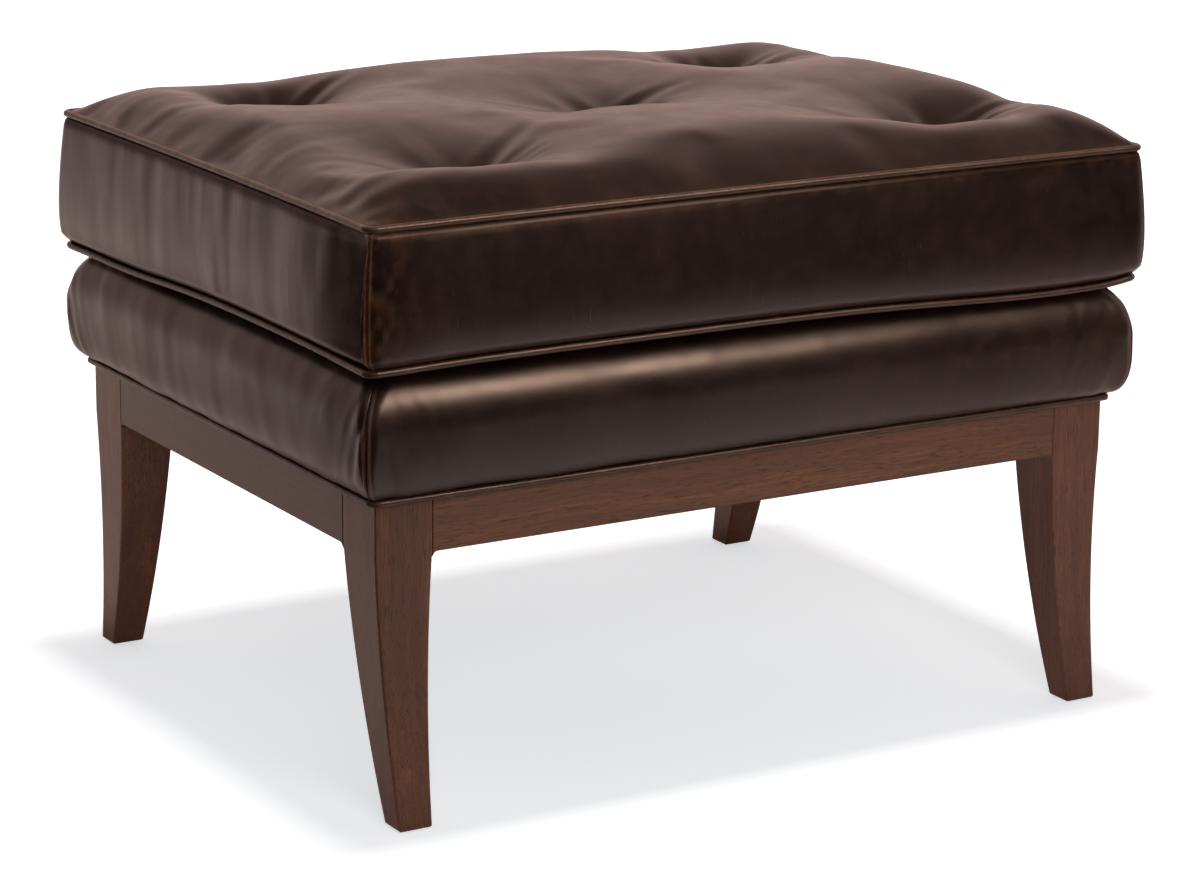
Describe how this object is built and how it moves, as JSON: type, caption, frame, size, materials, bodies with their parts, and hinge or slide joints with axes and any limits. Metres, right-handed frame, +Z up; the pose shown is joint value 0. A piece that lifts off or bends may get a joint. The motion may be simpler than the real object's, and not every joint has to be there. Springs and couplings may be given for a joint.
{
  "type": "tufted footstool",
  "caption": "Leather footstool: loose boxed cushion with buttonless tufts and piped seams, on a sprung leather deck and a show-wood base with sabre legs.",
  "frame": {"origin": "middle of the footprint, on the floor", "axes": "+X along the long side, -Y towards the front, +Z up"},
  "size_m": [0.672, 0.5222, 0.4799],
  "materials": {
    "show_wood": "satin walnut-brown stain",
    "frame_wood": "plain sawn hardwood",
    "steel": "drawn wire and zinc plate",
    "zip_brass": "antique brass",
    "nylon": "brown nylon",
    "button_plastic": "moulded, dull",
    "cotton_cord": "twisted cotton",
    "foam": "open-cell foam",
    "felt": "needled fibre",
    "black_cloth": "plain dull cloth",
    "leather": "waxed pull-up leather"
  },
  "bodies": {
    "root": {"corner_block_back_left": "frame_wood", "corner_block_back_right": "frame_wood", "corner_block_front_left": "frame_wood", "corner_block_front_right": "frame_wood", "corner_block_screws": "steel", "deck_cover_back": "leather", "deck_cover_front": "leather", "deck_cover_left": "leather", "deck_cover_right": "leather", "deck_foam": "foam", "deck_frame_screws": "steel", "deck_platform_cloth": "black_cloth", "deck_rail_back": "frame_wood", "deck_rail_front": "frame_wood", "deck_rail_left": "frame_wood", "deck_rail_right": "frame_wood", "deck_screws": "steel", "deck_welt": "leather", "deck_welt_cord": "cotton_cord", "dust_cover": "black_cloth", "dust_cover_staples": "steel", "foot_glides": "nylon", "leg_back_left": "show_wood", "leg_back_right": "show_wood", "leg_front_left": "show_wood", "leg_front_right": "show_wood", "rail_back": "show_wood", "rail_dowels": "frame_wood", "rail_front": "show_wood", "rail_left": "show_wood", "rail_right": "show_wood", "sinuous_springs": "steel", "spring_clip_nails": "steel", "spring_clips": "steel", "spring_insulator": "felt", "spring_tie_wires": "steel"},
    "cushion": {"cushion_bottom_panel": "leather", "cushion_bottom_welt": "leather", "cushion_bottom_welt_cord": "cotton_cord", "cushion_boxing_back_lower": "leather", "cushion_boxing_back_upper": "leather", "cushion_boxing_front": "leather", "cushion_boxing_left": "leather", "cushion_boxing_right": "leather", "cushion_core": "foam", "cushion_top_panel": "leather", "cushion_top_welt": "leather", "cushion_top_welt_cord": "cotton_cord", "cushion_wadding": "felt", "tuft_buttons": "button_plastic", "tuft_twines": "cotton_cord", "zip_coil": "zip_brass", "zip_tapes": "black_cloth"},
    "zip_slider": {"zip_slider": "zip_brass"},
    "zip_pull": {"zip_pull": "zip_brass"}
  },
  "joints": [
    {"name": "cushion_lift", "type": "slide", "parent": "root", "child": "cushion", "axis": [0, 0, 1], "range_m": [0, 0.25]},
    {"name": "zip_run", "type": "slide", "parent": "cushion", "child": "zip_slider", "axis": [-1, 0, 0], "range_m": [0, 0.49]},
    {"name": "zip_pull_swing", "type": "hinge", "parent": "zip_slider", "child": "zip_pull", "pos_m": [0.2455, 0.2596, 0.3905], "axis": [1, 0, 0], "range_deg": [0, 150]}
  ]
}
